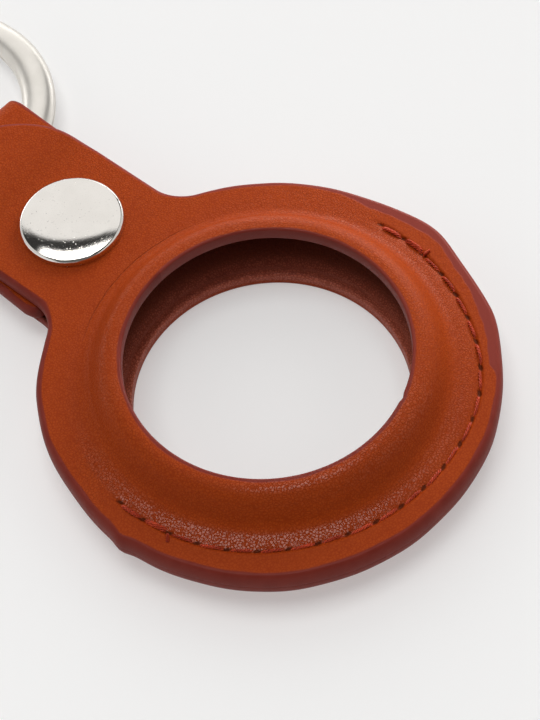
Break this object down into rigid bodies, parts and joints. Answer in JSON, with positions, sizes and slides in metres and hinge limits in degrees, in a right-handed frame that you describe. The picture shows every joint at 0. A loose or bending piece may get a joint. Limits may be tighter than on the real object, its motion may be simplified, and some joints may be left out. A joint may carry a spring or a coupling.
{
  "type": "tracker tag holder",
  "caption": "Leather holder for a round tracker tag: sewn pouch with open windows, a flap closed by a press stud, and a strap folded round a split key ring.",
  "frame": {"origin": "on the axis of the two windows, midway between the front and rear leather", "axes": "+Z out of the front window, +Y along the tab to the key ring, +X to the right seen from the front"},
  "size_m": [0.0418, 0.0866, 0.0088],
  "materials": {
    "leather": "fine pebble grain, semi-gloss",
    "lining": "matt grain",
    "thread": "waxed thread",
    "nickel": "polished nickel plate",
    "spring": "drawn wire"
  },
  "bodies": {
    "pouch": {"front_panel_outer": "leather", "front_panel_lining": "lining", "rear_panel_outer": "leather", "rear_panel_lining": "lining", "strap_end_outer": "leather", "strap_end_lining": "lining", "seam_thread_top": "thread", "seam_thread_bottom": "thread", "snap_stud": "nickel", "snap_post": "nickel"},
    "flap": {"front_flap_outer": "leather", "front_flap_lining": "lining", "snap_cap": "nickel", "snap_cap_post": "nickel", "snap_socket": "nickel", "snap_spring": "spring"},
    "loop": {"strap_loop_outer": "leather", "strap_loop_lining": "lining"},
    "ring": {"key_ring": "nickel"}
  },
  "joints": [
    {"name": "flap_lift", "type": "hinge", "parent": "pouch", "child": "flap", "pos_m": [0, 0.0025, 0.00445], "axis": [1, 0, 0], "range_deg": [0, 60], "stiffness_Nm_per_rad": 0.01, "deforming": ["snap_spring"]},
    {"name": "loop_bend", "type": "hinge", "parent": "pouch", "child": "loop", "pos_m": [0, 0.0301, -0.00313], "axis": [1, 0, 0], "range_deg": [-45, 0], "stiffness_Nm_per_rad": 0.02},
    {"name": "ring_turn", "type": "hinge", "parent": "loop", "child": "ring", "pos_m": [0, 0.05018, -0.00246], "axis": [0, 0.0588, 0.9983], "continuous": true}
  ]
}
